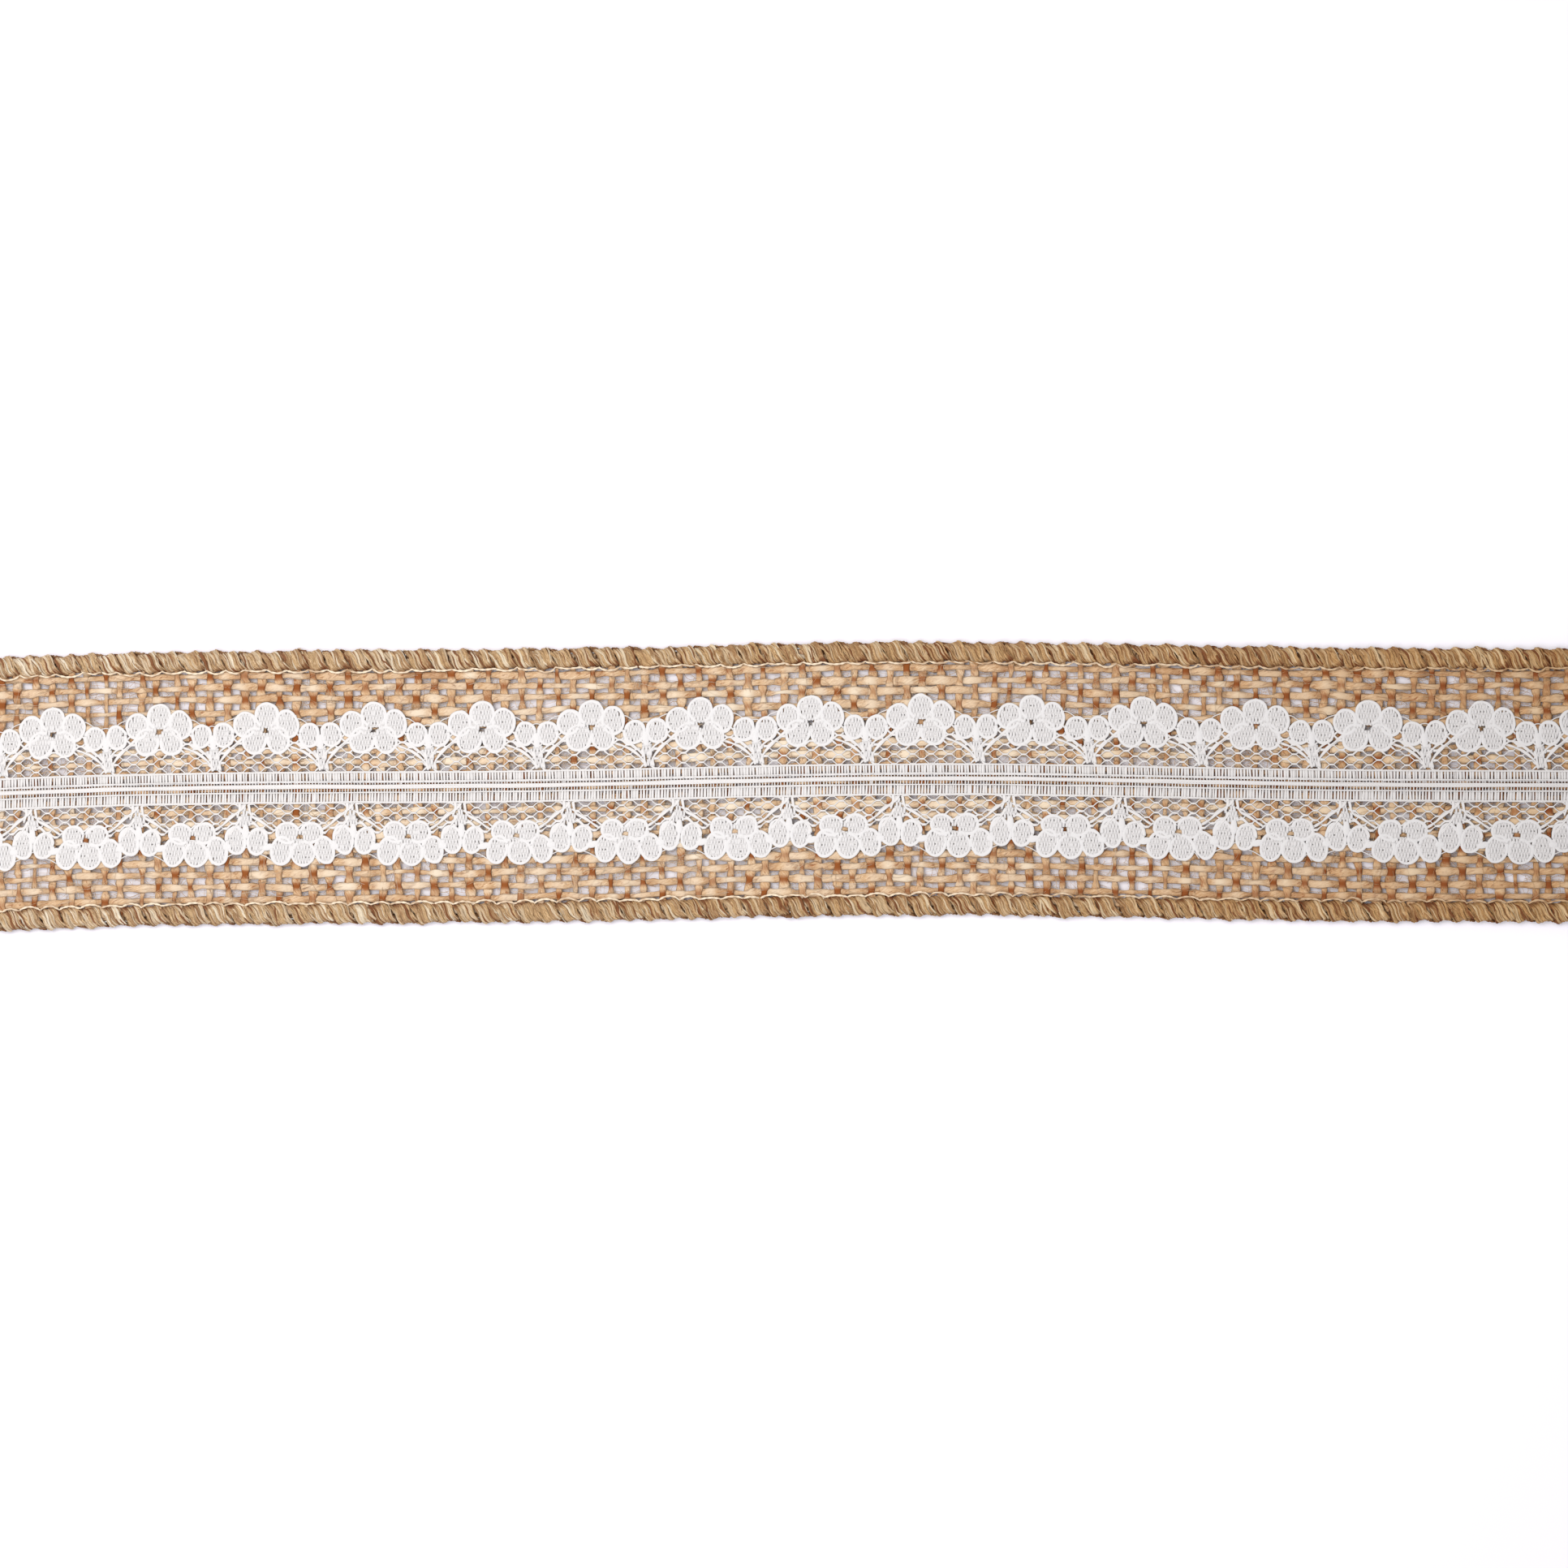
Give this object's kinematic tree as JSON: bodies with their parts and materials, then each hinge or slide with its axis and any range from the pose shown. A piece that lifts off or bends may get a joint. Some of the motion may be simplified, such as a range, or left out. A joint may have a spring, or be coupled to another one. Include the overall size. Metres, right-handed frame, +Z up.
{
  "type": "table runner",
  "caption": "Narrow natural burlap table runner with whipped long edges and a white flowered lace band sewn down its middle.",
  "frame": {"origin": "on the table under the middle of the runner", "axes": "+X along the runner, +Y across it, +Z up out of its lace side"},
  "size_m": [0.3868, 0.0636, 0.0031],
  "materials": {
    "burlap_jute": "matte hairy yarn",
    "edge_jute": "matte hairy yarn",
    "needle_thread": "soft spun thread",
    "sewing_thread": "soft spun thread",
    "lace_ground": "soft matte knit",
    "lace_motif": "soft matte knit",
    "edge_wire": "thin bare wire"
  },
  "bodies": {
    "root": {"lace_bobbin_thread": "sewing_thread", "lace_centre_chain": "lace_ground", "lace_seam_thread": "sewing_thread", "lower_edge_needle_thread": "needle_thread", "lower_edge_warp_yarn": "burlap_jute", "lower_edge_wire": "edge_wire", "lower_edge_wrap_yarn": "edge_jute", "lower_lace_buds": "lace_motif", "lower_lace_edge_chain": "lace_ground", "lower_lace_flowers": "lace_motif", "lower_lace_inner_chain": "lace_ground", "lower_lace_ladder": "lace_ground", "lower_lace_net": "lace_ground", "lower_lace_stems": "lace_ground", "upper_edge_needle_thread": "needle_thread", "upper_edge_warp_yarn": "burlap_jute", "upper_edge_wire": "edge_wire", "upper_edge_wrap_yarn": "edge_jute", "upper_lace_buds": "lace_motif", "upper_lace_edge_chain": "lace_ground", "upper_lace_flowers": "lace_motif", "upper_lace_inner_chain": "lace_ground", "upper_lace_ladder": "lace_ground", "upper_lace_net": "lace_ground", "upper_lace_stems": "lace_ground", "warp_yarn_01": "burlap_jute", "warp_yarn_02": "burlap_jute", "warp_yarn_03": "burlap_jute", "warp_yarn_04": "burlap_jute", "warp_yarn_05": "burlap_jute", "warp_yarn_06": "burlap_jute", "warp_yarn_07": "burlap_jute", "warp_yarn_08": "burlap_jute", "warp_yarn_09": "burlap_jute", "warp_yarn_10": "burlap_jute", "warp_yarn_11": "burlap_jute", "warp_yarn_12": "burlap_jute", "warp_yarn_13": "burlap_jute", "warp_yarn_14": "burlap_jute", "warp_yarn_15": "burlap_jute", "warp_yarn_16": "burlap_jute", "warp_yarn_17": "burlap_jute", "warp_yarn_18": "burlap_jute", "warp_yarn_19": "burlap_jute", "weft_yarns": "burlap_jute"}
  },
  "joints": []
}
